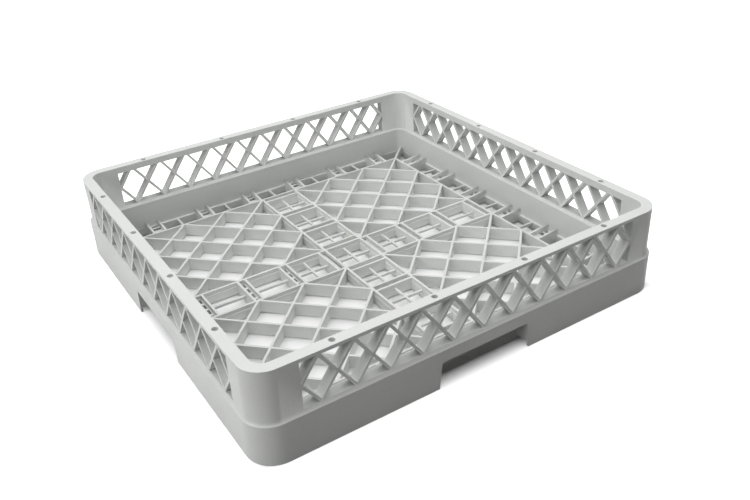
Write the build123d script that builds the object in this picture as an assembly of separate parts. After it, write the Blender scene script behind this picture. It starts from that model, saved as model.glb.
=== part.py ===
"""Dishwasher rack: one square moulding with a lattice wall, a hollow skirt and a ribbed floor.

Millimetres, +Z up. The origin is the middle of the rack, on the surface that it stands on.
"""
from build123d import *
import os
from math import atan2, cos, degrees, hypot, pi

# Overall size
rack_width = 500.0
rack_height = 102.0
corner_radius = 29.0

# Hollow skirt: an outer and an inner skin, with room between them for the rim of a rack below
outer_skin = 2.6
inner_skin = 3.2
stack_clearance = 0.6
stack_depth = 5.5
skirt_height = 44.6
roof_thickness = 3.0

# Step from the skirt up to the lattice wall, outside and inside
outer_step_height = 3.2
inner_step_height = 2.5

# Rim, thin at its outer edge and deeper at its inner edge, on a lattice that stands on the step
rim_width = 12.3
rim_edge = 4.0
rim_lip = 8.6
lattice_cells = 11
lattice_end = 46.05
blade_thickness = 3.0

# Holes down through the rim, spaced by whole lattice cells
rim_hole_diameter = 6.2
rim_hole_inset = 7.1
rim_hole_cells = 3
rim_holes_per_side = 4

# Notch in the middle of each side of the skirt
notch_top_width = 107.0
notch_bottom_width = 113.6
notch_height = 30.5
return_plate = 2.6

# Floor heights above the standing surface
floor_lift = 1.5
web_bottom = 8.0
low_rib_top = 11.5
rib_top = 16.5

# Floor ribs in plan
rib_thickness = 2.8
band_half = 25.0
diamonds_per_field = 3
pair_spacing = 9.8
low_bar = 2.8
rail_width = 3.0

# Ladder of rib pairs between the floor and the wall
ladder_length = 33.2
ladder_pairs = 6
ladder_end = 25.0
ladder_pair_spacing = 15.7
ladder_rise = 3.5

# Half widths of the wall at each height, measured from the middle of the rack
base_half = rack_width / 2
hollow_outer_half = base_half - outer_skin
rim_half = hollow_outer_half - stack_clearance
rim_inner_half = rim_half - rim_width
hollow_inner_half = rim_inner_half - stack_clearance
inside_half = hollow_inner_half - inner_skin

# Heights that follow from the sizes above
wall_foot = skirt_height + outer_step_height
inner_step_bottom = wall_foot - inner_step_height
hollow_top = inner_step_bottom - roof_thickness
window_top = rack_height - rim_edge
window_height = window_top - wall_foot
lip_bottom = rack_height - rim_lip

# Spacings that follow from the sizes above
window_length = 2 * (rim_half - lattice_end)
lattice_pitch = window_length / lattice_cells
field_half = inside_half - ladder_length
field_pitch = (field_half - band_half) / diamonds_per_field
ladder_pitch = 2 * (field_half - ladder_end) / (ladder_pairs - 1)
seat_half = (inside_half + hollow_inner_half) / 2
SIGNS = (-1, 1)
ALL_SIDES = (0, 90, 180, 270)
Y_SIDES = (0, 180)


def level(height, half):
    """Rounded square at a height, all of them with the same corner centres."""
    radius = corner_radius - (base_half - half)
    return Pos(0, 0, height) * RectangleRounded(2 * half, 2 * half, radius)


def block(low, low_half, high, high_half):
    """Solid between two rounded squares, with drafted sides where their sizes differ."""
    draft = degrees(atan2(low_half - high_half, high - low))
    return extrude(level(low, low_half), high - low, taper=draft)


def turned(shapes, sides=ALL_SIDES):
    """The same shapes, drawn for the +Y side, turned onto other sides too."""
    return [Rot(0, 0, turn) * shape for turn in sides for shape in shapes]


def rib(start, end, width=rib_thickness):
    """Plan of a straight rib between two points."""
    along = (end[0] - start[0], end[1] - start[1])
    middle = Pos((start[0] + end[0]) / 2, (start[1] + end[1]) / 2)
    turn = Rot(0, 0, degrees(atan2(along[1], along[0])))
    return middle * turn * Rectangle(hypot(*along), width)


def make_shell():
    """Skirt, step and wall outside, the open inside, and the hollow under the skirt."""
    outside = block(0, base_half, skirt_height, base_half)
    outside += block(skirt_height, base_half, wall_foot, rim_half)
    outside += block(wall_foot, rim_half, rack_height, rim_half)
    inside = block(0, hollow_inner_half, floor_lift, hollow_inner_half)
    inside += block(floor_lift, inside_half, inner_step_bottom, inside_half)
    inside += block(inner_step_bottom, inside_half, wall_foot, rim_inner_half)
    inside += block(wall_foot, rim_inner_half, rack_height, rim_inner_half)
    hollow = block(0, hollow_outer_half, hollow_top, hollow_outer_half)
    hollow -= block(0, hollow_inner_half, hollow_top, hollow_inner_half)
    return outside - inside - hollow


def make_windows():
    """Lattice cells of one wall pair: a window less the crossing blades, run through both walls.

    Their ceilings slope, from the thin outer edge of the rim to its deeper inner edge.
    """
    window = Rectangle(window_length, window_height)
    slope = degrees(atan2(lattice_pitch, window_height))
    blade = Rectangle(blade_thickness, 2 * window_height)
    stations = [(cell - lattice_cells / 2) * lattice_pitch for cell in range(lattice_cells + 1)]
    blades = [Pos(x, 0) * Rot(0, 0, sign * slope) * blade for x in stations for sign in SIGNS]
    cells = Pos(0, wall_foot + window_height / 2) * (window - blades)
    ceilings = Polygon(
        (-rim_half, window_top),
        (-rim_inner_half, lip_bottom),
        (rim_inner_half, lip_bottom),
        (rim_half, window_top),
        align=None,
    )
    through = extrude(Plane.XZ * cells, rack_width, both=True)
    through -= extrude(Plane.YZ * ceilings, window_length, both=True)
    return [through, Rot(0, 0, 90) * through]


def make_rim_holes():
    """Round holes through the rim, each over the middle of a lattice triangle."""
    pitch = rim_hole_cells * lattice_pitch
    line = rim_half - rim_hole_inset
    hole = Cylinder(rim_hole_diameter / 2, 2 * rim_lip)
    stations = [(i - (rim_holes_per_side - 1) / 2) * pitch for i in range(rim_holes_per_side)]
    return turned([Pos(x, line, rack_height) * hole for x in stations])


def make_notches():
    """Openings in the outer skin, wider at the base."""
    half_top = notch_top_width / 2
    half_bottom = notch_bottom_width / 2
    outline = Polygon(
        (-half_bottom, 0),
        (half_bottom, 0),
        (half_top, notch_height),
        (-half_top, notch_height),
        align=None,
    )
    depth = outer_skin + stack_clearance
    return turned([Pos(0, depth - base_half, 0) * extrude(Plane.XZ * outline, depth)])


def make_return_plates():
    """Plates at the ends of each notch that tie the two skins, and seat the rim of a rack below."""
    lean = (notch_bottom_width - notch_top_width) / 2 / notch_height
    half_low = notch_bottom_width / 2 - lean * stack_depth
    half_high = notch_bottom_width / 2 - lean * hollow_top
    outline = Polygon(
        (half_low, stack_depth),
        (half_low + return_plate, stack_depth),
        (half_high + return_plate, hollow_top),
        (half_high, hollow_top),
        align=None,
    )
    span = hollow_outer_half - hollow_inner_half
    plate = Pos(0, -hollow_inner_half, 0) * extrude(Plane.XZ * outline, span)
    return turned([plate, mirror(plate, Plane.YZ)])


def diamond_ribs():
    """Crossing ribs of the four fields, in plan, meeting their borders at even spacings."""
    ribs = []
    size = diamonds_per_field * field_pitch
    for step in range(1 - diamonds_per_field, diamonds_per_field):
        run = (diamonds_per_field - abs(step)) * field_pitch
        x = max(step, 0) * field_pitch
        y = max(-step, 0) * field_pitch
        ribs.append(((x, y), (x + run, y + run)))
        ribs.append(((size - x, y), (size - x - run, y + run)))
    placed = []
    for side_x in SIGNS:
        for side_y in SIGNS:
            for ends in ribs:
                corners = [(side_x * (band_half + x), side_y * (band_half + y)) for x, y in ends]
                placed.append(rib(*corners))
    return placed


def border_lines():
    """End points of the long ribs that frame the fields and the two bands between them."""
    lines = []
    for offset in (-field_half, -band_half, band_half, field_half):
        lines.append(((-field_half, offset), (field_half, offset)))
        lines.append(((offset, -field_half), (offset, field_half)))
    return lines


def pair_stations():
    """Middles of the rib pairs along one half of a band, at even spacings between its ends."""
    pitch = (field_half - band_half - pair_spacing) / diamonds_per_field
    return [band_half + pair_spacing / 2 + i * pitch for i in range(diamonds_per_field + 1)]


def band_pair_ribs():
    """Paired cross ribs of the bands, in plan."""
    ribs = []
    for middle in pair_stations():
        for side in SIGNS:
            y = middle + side * pair_spacing / 2
            ribs.append(rib((-band_half, y), (band_half, y)))
    return turned(ribs)


def band_bars():
    """Low bars in the cells of the bands: a cross in most, a single bar in the outer cells along X."""
    bars = [rib((-band_half, 0), (band_half, 0), low_bar), rib((0, -band_half), (0, band_half), low_bar)]
    stations = pair_stations()
    for cell in range(diamonds_per_field):
        start = stations[cell] + pair_spacing / 2
        end = stations[cell + 1] - pair_spacing / 2
        middle = (start + end) / 2
        bars += turned([rib((0, start), (0, end), low_bar)])
        across = [rib((-band_half, middle), (band_half, middle), low_bar)]
        bars += turned(across) if cell == 0 else turned(across, Y_SIDES)
    return bars


def ladder_stations():
    """Middles of the ladder's rib pairs along one side."""
    return [(i - (ladder_pairs - 1) / 2) * ladder_pitch for i in range(ladder_pairs)]


def ladder_bars():
    """Single low ribs of the ladder, halfway between its pairs, in plan."""
    stations = ladder_stations()
    middles = [(stations[i] + stations[i + 1]) / 2 for i in range(ladder_pairs - 1)]
    return turned([rib((x, field_half), (x, seat_half), low_bar) for x in middles])


def ladder_pair_ribs():
    """Ladder ribs that rise to the wall, drawn from the side."""
    outline = Polygon(
        (field_half, floor_lift),
        (seat_half, floor_lift),
        (seat_half, rib_top + ladder_rise),
        (field_half, rib_top),
        align=None,
    )
    side_rib = extrude(Plane.YZ * outline, rib_thickness / 2, both=True)
    ribs = []
    for x in ladder_stations():
        for side in SIGNS:
            ribs.append(Pos(x + side * ladder_pair_spacing / 2, 0, 0) * side_rib)
    return turned(ribs)


def corner_ribs():
    """Diagonal ribs from the fields' outer corners to the corners of the wall, in plan."""
    reach = inside_half - (corner_radius - (base_half - seat_half)) * (1 - cos(pi / 4))
    return turned([rib((field_half, field_half), (reach, reach))])


def wall_rails():
    """Low rails along the foot of each wall, up to the corners, in plan."""
    straight_half = base_half - corner_radius
    width = seat_half - inside_half + rail_width
    line = seat_half - width / 2
    return turned([rib((-straight_half, line), (straight_half, line), width)])


def make_floor():
    """Floor in three layers: ribs and rails below, low bars between, tall ribs on top."""
    borders = [rib(*line) for line in border_lines()]
    top = Sketch() + (borders + diamond_ribs() + band_pair_ribs() + corner_ribs())
    base = top + wall_rails()
    middle = base + (band_bars() + ladder_bars())
    layers = [
        Pos(0, 0, floor_lift) * extrude(base, web_bottom - floor_lift),
        Pos(0, 0, web_bottom) * extrude(middle, low_rib_top - web_bottom),
        Pos(0, 0, low_rib_top) * extrude(top, rib_top - low_rib_top),
    ]
    return layers + ladder_pair_ribs()


def make_rack():
    """The whole moulding."""
    walls = make_shell() - (make_windows() + make_rim_holes() + make_notches())
    return walls + (make_return_plates() + make_floor())


os.makedirs("parts", exist_ok=True)
export_step(make_rack(), "parts/rack.step")
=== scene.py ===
import bmesh
import bpy
from math import radians
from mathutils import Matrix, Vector


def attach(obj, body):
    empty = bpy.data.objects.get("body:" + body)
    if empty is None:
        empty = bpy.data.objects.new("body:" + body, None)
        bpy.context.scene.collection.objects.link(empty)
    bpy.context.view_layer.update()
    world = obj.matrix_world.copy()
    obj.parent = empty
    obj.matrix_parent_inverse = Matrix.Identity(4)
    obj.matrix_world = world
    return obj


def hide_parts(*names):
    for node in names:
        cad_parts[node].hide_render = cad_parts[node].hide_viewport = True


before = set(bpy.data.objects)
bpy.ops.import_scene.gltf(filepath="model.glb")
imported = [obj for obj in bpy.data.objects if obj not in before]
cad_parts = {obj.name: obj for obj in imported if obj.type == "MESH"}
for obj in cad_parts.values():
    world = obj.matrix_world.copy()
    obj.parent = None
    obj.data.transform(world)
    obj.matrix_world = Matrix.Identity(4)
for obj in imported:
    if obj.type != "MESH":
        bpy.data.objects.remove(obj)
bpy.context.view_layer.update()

MM = 0.001

# Rounding that the mould leaves on the edges
WALL_EDGE = 0.4 * MM
RIB_EDGE = 0.2 * MM
SMALL_EDGE = 0.25 * MM

# How the meshes are joined, sorted and shaded
WELD = 0.01 * MM
SAME_HEIGHT = 0.05 * MM
FLAT_ANGLE = radians(0.5)
SHARP_ANGLE = radians(30)
SMOOTH_ANGLE = radians(50)

# Floor ribs, as in the solid, in millimetres
RIB = 2.8
RIB_TOP = 16.5
FLOOR_LIFT = 1.5
BAND_HALF = 25.0
FIELD_HALF = 197.5
DIAMONDS = 3
PAIR_SPACING = 9.8
LADDER_PAIRS = 6
LADDER_PITCH = 69.0
LADDER_SPACING = 15.7

# Small plates, webs and ledges between the ribs, in millimetres
LEDGE = 1.0
WEB_LOW = 10.0
WEB_HIGH = 11.5
BAND_WEB = 4.0
BAND_SLOTS = 4
SLOT_MARGIN = 1.7
MARGIN_DROP = 0.3
LADDER_PLATE_END = 213.5
LADDER_WEB_START = 219.3
LADDER_WEB_END = 222.1
BITE = 0.4

# Plastic: its two greys, its sheen, and scale, detail and roughness of each noise
DEEP_GREY = (0.690, 0.702, 0.684, 1.0)
PALE_GREY = (0.739, 0.752, 0.733, 1.0)
SHEEN = 0.4
PLASTIC_IOR = 1.49
PIGMENT = (0.955, 1.045)
GLOSS = (0.42, 0.56)
CLOUD_NOISE = (9.0, 3.0, 0.55)
SPECK_NOISE = (950.0, 2.0, 0.6)
WORN_NOISE = (34.0, 5.0, 0.65)
GRAIN_NOISE = (1500.0, 3.0, 0.6)
WAVE_NOISE = (45.0, 2.0, 0.5)

# Table under the rack, in metres
TABLE_HALF = 12.0
TABLE_WHITE = 0.9
SHEET_EDGE = 0.196
SHEET_BLEND = 0.02
SHEET_BOUNCE = 0.85
TABLE_BOUNCE = 0.08
GLOW_START = 0.229
GLOW_REACH = 0.27

# Light and camera, in metres and watts
WHITE = (1.0, 1.0, 1.0, 1.0)
ROOM_LIGHT = 0.008
LIGHT_TARGET = (0.0, 0.0, 0.05)
SIDE_PLACE = (-2.0, -0.2, 0.55)
SIDE_SIZE = 1.0
SIDE_POWER = 15.2
TOP_PLACE = (0.0, 0.0, 1.4)
TOP_SIZE = 2.4
TOP_POWER = 33.5
EYE_PLACE = (-0.4230, -0.7373, 0.5174)
EYE_TURN = (1.03847, 0.04496, -0.57881)
EYE_LENS = 38.88
EYE_SENSOR = 36.0
EYE_REACH = 50.0


def node(tree, kind, **inputs):
    """A shader node with constant values set on its own sockets."""
    made = tree.nodes.new(kind)
    for name, value in inputs.items():
        made.inputs[name.replace("_", " ")].default_value = value
    return made


def noise(tree, place, scale, detail, roughness):
    """Noise on the object's own coordinates."""
    made = node(tree, "ShaderNodeTexNoise", Scale=scale, Detail=detail, Roughness=roughness)
    tree.links.new(place.outputs["Object"], made.inputs["Vector"])
    return made


def spread(tree, source, low, high):
    """The noise stretched over a range of values."""
    made = node(tree, "ShaderNodeMapRange", From_Min=0.3, From_Max=0.7, To_Min=low, To_Max=high)
    tree.links.new(source.outputs["Fac"], made.inputs["Value"])
    return made


def grey_plastic():
    """Light grey polypropylene from a finely grained mould."""
    material = bpy.data.materials.new("grey_plastic")
    material.use_nodes = True
    tree = material.node_tree
    shader = tree.nodes["Principled BSDF"]
    shader.inputs["Specular IOR Level"].default_value = SHEEN
    shader.inputs["IOR"].default_value = PLASTIC_IOR
    place = tree.nodes.new("ShaderNodeTexCoord")

    # Soft cloudy tone from the flow of the plastic, with fine specks of pigment over it
    cloud = noise(tree, place, *CLOUD_NOISE)
    speck = noise(tree, place, *SPECK_NOISE)
    tone = spread(tree, cloud, 0.0, 1.0)
    base = tree.nodes.new("ShaderNodeMix")
    base.data_type = "RGBA"
    base.inputs["A"].default_value = DEEP_GREY
    base.inputs["B"].default_value = PALE_GREY
    tree.links.new(tone.outputs["Result"], base.inputs["Factor"])
    dots = spread(tree, speck, *PIGMENT)
    tint = tree.nodes.new("ShaderNodeVectorMath")
    tint.operation = "SCALE"
    tree.links.new(base.outputs["Result"], tint.inputs[0])
    tree.links.new(dots.outputs["Result"], tint.inputs["Scale"])
    tree.links.new(tint.outputs["Vector"], shader.inputs["Base Color"])

    # Sheen that varies with wear
    worn = noise(tree, place, *WORN_NOISE)
    gloss = spread(tree, worn, *GLOSS)
    tree.links.new(gloss.outputs["Result"], shader.inputs["Roughness"])

    # Grain of the mould and a faint waviness of the flat walls
    grain = noise(tree, place, *GRAIN_NOISE)
    wave = noise(tree, place, *WAVE_NOISE)
    fine = node(tree, "ShaderNodeBump", Strength=0.35, Distance=0.12 * MM)
    broad = node(tree, "ShaderNodeBump", Strength=0.25, Distance=0.6 * MM)
    tree.links.new(wave.outputs["Fac"], broad.inputs["Height"])
    tree.links.new(grain.outputs["Fac"], fine.inputs["Height"])
    tree.links.new(broad.outputs["Normal"], fine.inputs["Normal"])
    tree.links.new(fine.outputs["Normal"], shader.inputs["Normal"])
    return material


def as_piece(bm, name, material):
    """A finished mesh as a piece of the rack, smooth over its rounded edges and flat on its faces."""
    mesh = bpy.data.meshes.new(name)
    bm.to_mesh(mesh)
    bm.free()
    mesh.materials.clear()
    mesh.materials.append(material)
    for polygon in mesh.polygons:
        polygon.use_smooth = True
    mesh.set_sharp_from_angle(angle=SMOOTH_ANGLE)
    piece = bpy.data.objects.new(name, mesh)
    bpy.context.scene.collection.objects.link(piece)
    flatten = piece.modifiers.new("flat_faces", "WEIGHTED_NORMAL")
    flatten.keep_sharp = True
    flatten.weight = 100
    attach(piece, "root")
    return piece


def rounded(bm, edges, radius):
    """Rounds the given edges."""
    bmesh.ops.bevel(
        bm,
        geom=edges,
        offset=radius,
        offset_type="OFFSET",
        affect="EDGES",
        segments=2,
        profile=0.5,
        material=-1,
        clamp_overlap=False,
    )


def bar(bm, low, high):
    """One bar between two corners given in millimetres."""
    low = Vector(low) * MM
    high = Vector(high) * MM
    verts = bmesh.ops.create_cube(bm, size=1.0)["verts"]
    bmesh.ops.scale(bm, vec=high - low, verts=verts)
    bmesh.ops.translate(bm, vec=(low + high) / 2, verts=verts)


def turned_bar(bm, low, high, turn):
    """A bar drawn for the +Y side, turned by quarter turns onto another side."""
    for _ in range(turn):
        low, high = (-high[1], low[0], low[2]), (-low[1], high[0], high[2])
    bar(bm, low, high)


def outer_edges(bm, rib_tops):
    """The sharp outward edges, either those along the tops of the floor ribs or all the others."""
    bm.normal_update()
    sharp = [edge for edge in bm.edges if edge.calc_face_angle_signed() > SHARP_ANGLE]
    level = [all(abs(vert.co.z - RIB_TOP * MM) < SAME_HEIGHT for vert in edge.verts) for edge in sharp]
    return [edge for edge, top in zip(sharp, level) if top == rib_tops]


def moulding(material):
    """The moulding, welded, with rounded edges in place of the solid's sharp ones."""
    bm = bmesh.new()
    bm.from_mesh(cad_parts["rack"].data)
    bmesh.ops.remove_doubles(bm, verts=bm.verts, dist=WELD)
    bmesh.ops.dissolve_limit(bm, angle_limit=FLAT_ANGLE, verts=bm.verts, edges=bm.edges)
    rounded(bm, outer_edges(bm, False), WALL_EDGE)
    rounded(bm, outer_edges(bm, True), RIB_EDGE)
    piece = as_piece(bm, "moulding", material)
    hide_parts("rack")
    return piece


def rib_ledges(material):
    """Thicker lower part of the long ribs beside the two bands."""
    bm = bmesh.new()
    for turn in range(4):
        for face in (BAND_HALF - RIB / 2 - LEDGE, BAND_HALF + RIB / 2 - BITE):
            low = (-FIELD_HALF, face, FLOOR_LIFT)
            high = (FIELD_HALF, face + LEDGE + BITE, WEB_HIGH)
            turned_bar(bm, low, high, turn)
    rounded(bm, bm.edges[:], SMALL_EDGE)
    return as_piece(bm, "rib_ledges", material)


def drain_webs(material):
    """Small thin plates across the gaps of the paired ribs, with drain slots in most of them."""
    bm = bmesh.new()
    pitch = (FIELD_HALF - BAND_HALF - PAIR_SPACING) / DIAMONDS
    pairs = [BAND_HALF + PAIR_SPACING / 2 + i * pitch for i in range(DIAMONDS + 1)]
    inner = pairs[0]
    reach = PAIR_SPACING / 2 - RIB / 2 + BITE
    slot_pitch = 2 * BAND_HALF / BAND_SLOTS
    offsets = [(i - BAND_SLOTS / 2) * slot_pitch for i in range(1, BAND_SLOTS)]
    ladder = [(i - (LADDER_PAIRS - 1) / 2) * LADDER_PITCH for i in range(LADDER_PAIRS)]
    wide = LADDER_SPACING / 2 - RIB / 2 + BITE
    for turn in range(4):
        # A plain plate in the pair next to the middle
        turned_bar(bm, (-BAND_HALF, inner - reach, WEB_LOW), (BAND_HALF, inner + reach, WEB_HIGH), turn)

        # Webs and margins that leave a row of slots in the other pairs
        for y in pairs[1:]:
            for x in offsets:
                low = (x - BAND_WEB / 2, y - reach, WEB_LOW)
                high = (x + BAND_WEB / 2, y + reach, WEB_HIGH)
                turned_bar(bm, low, high, turn)
            for edge in (y - reach, y + reach - SLOT_MARGIN):
                low = (-BAND_HALF, edge, WEB_LOW + MARGIN_DROP)
                high = (BAND_HALF, edge + SLOT_MARGIN, WEB_HIGH - MARGIN_DROP)
                turned_bar(bm, low, high, turn)

        # A plate and a web that leave two slots in each pair of the ladder
        for x in ladder:
            for start, end in ((FIELD_HALF, LADDER_PLATE_END), (LADDER_WEB_START, LADDER_WEB_END)):
                turned_bar(bm, (x - wide, start, WEB_LOW), (x + wide, end, WEB_HIGH), turn)
    rounded(bm, bm.edges[:], SMALL_EDGE)
    return as_piece(bm, "drain_webs", material)


def maths(tree, operation, first, second=None):
    """One sum on one or two values."""
    made = tree.nodes.new("ShaderNodeMath")
    made.operation = operation
    tree.links.new(first, made.inputs[0])
    if second is not None:
        tree.links.new(second, made.inputs[1])
    return made.outputs["Value"]


def seen_rays(tree):
    """1 for rays that the camera sees directly, in a gloss or through glass, 0 for light that bounces."""
    path = tree.nodes.new("ShaderNodeLightPath")
    direct = maths(tree, "MAXIMUM", path.outputs["Is Camera Ray"], path.outputs["Is Glossy Ray"])
    return maths(tree, "MAXIMUM", direct, path.outputs["Is Transmission Ray"])


def ramp(tree, source, start, end, low, high):
    """A value that goes smoothly from low to high between two positions."""
    made = node(tree, "ShaderNodeMapRange", From_Min=start, From_Max=end, To_Min=low, To_Max=high)
    made.interpolation_type = "SMOOTHSTEP"
    tree.links.new(source, made.inputs["Value"])
    return made.outputs["Result"]


def table_top():
    """Pale table, white to the eye, with a white sheet under the rack that keeps its shadows."""
    material = bpy.data.materials.new("table_white")
    material.use_nodes = True
    tree = material.node_tree
    shader = tree.nodes["Principled BSDF"]
    shader.inputs["Roughness"].default_value = 0.9
    shader.inputs["Specular IOR Level"].default_value = 0.1
    place = tree.nodes.new("ShaderNodeTexCoord")
    axes = tree.nodes.new("ShaderNodeSeparateXYZ")
    tree.links.new(place.outputs["Object"], axes.inputs["Vector"])
    across = maths(tree, "ABSOLUTE", axes.outputs["X"])
    along = maths(tree, "ABSOLUTE", axes.outputs["Y"])
    reach = maths(tree, "MAXIMUM", across, along)

    # The table throws back less light than the sheet, and both look white
    seen = seen_rays(tree)
    bounce = ramp(tree, reach, SHEET_EDGE, SHEET_EDGE + SHEET_BLEND, SHEET_BOUNCE, TABLE_BOUNCE)
    paint = tree.nodes.new("ShaderNodeMix")
    tree.links.new(seen, paint.inputs["Factor"])
    tree.links.new(bounce, paint.inputs["A"])
    paint.inputs["B"].default_value = TABLE_WHITE
    tree.links.new(paint.outputs["Result"], shader.inputs["Base Color"])

    # Away from the rack the table is as white as the background
    glow = ramp(tree, reach, GLOW_START, GLOW_REACH, 0.0, 1.0)
    shader.inputs["Emission Color"].default_value = WHITE
    tree.links.new(maths(tree, "MULTIPLY", seen, glow), shader.inputs["Emission Strength"])

    bm = bmesh.new()
    bmesh.ops.create_grid(bm, x_segments=1, y_segments=1, size=TABLE_HALF)
    mesh = bpy.data.meshes.new("table")
    bm.to_mesh(mesh)
    bm.free()
    mesh.materials.append(material)
    table = bpy.data.objects.new("table", mesh)
    bpy.context.scene.collection.objects.link(table)


def studio_world():
    """White to the eye, and a low even light for the rest."""
    world = bpy.data.worlds.new("studio")
    world.use_nodes = True
    bpy.context.scene.world = world
    tree = world.node_tree
    background = tree.nodes["Background"]
    background.inputs["Color"].default_value = WHITE
    level = node(tree, "ShaderNodeMapRange", To_Min=ROOM_LIGHT, To_Max=1.0)
    tree.links.new(seen_rays(tree), level.inputs["Value"])
    tree.links.new(level.outputs["Result"], background.inputs["Strength"])


def softbox(name, place, size, power):
    """A square studio light aimed at the rack."""
    light = bpy.data.lights.new(name, "AREA")
    light.size = size
    light.energy = power
    lamp = bpy.data.objects.new(name, light)
    lamp.location = place
    aim = Vector(LIGHT_TARGET) - Vector(place)
    lamp.rotation_euler = aim.to_track_quat("-Z", "Y").to_euler()
    bpy.context.scene.collection.objects.link(lamp)


def camera():
    """The photograph's view, from above the front left corner."""
    lens = bpy.data.cameras.new("camera")
    lens.sensor_width = EYE_SENSOR
    lens.lens = EYE_LENS
    lens.clip_end = EYE_REACH
    eye = bpy.data.objects.new("camera", lens)
    eye.location = EYE_PLACE
    eye.rotation_euler = EYE_TURN
    bpy.context.scene.collection.objects.link(eye)
    bpy.context.scene.camera = eye


plastic = grey_plastic()
moulding(plastic)
rib_ledges(plastic)
drain_webs(plastic)

table_top()
studio_world()
softbox("side_light", SIDE_PLACE, SIDE_SIZE, SIDE_POWER)
softbox("top_light", TOP_PLACE, TOP_SIZE, TOP_POWER)
camera()

bpy.context.scene.view_settings.view_transform = "Standard"
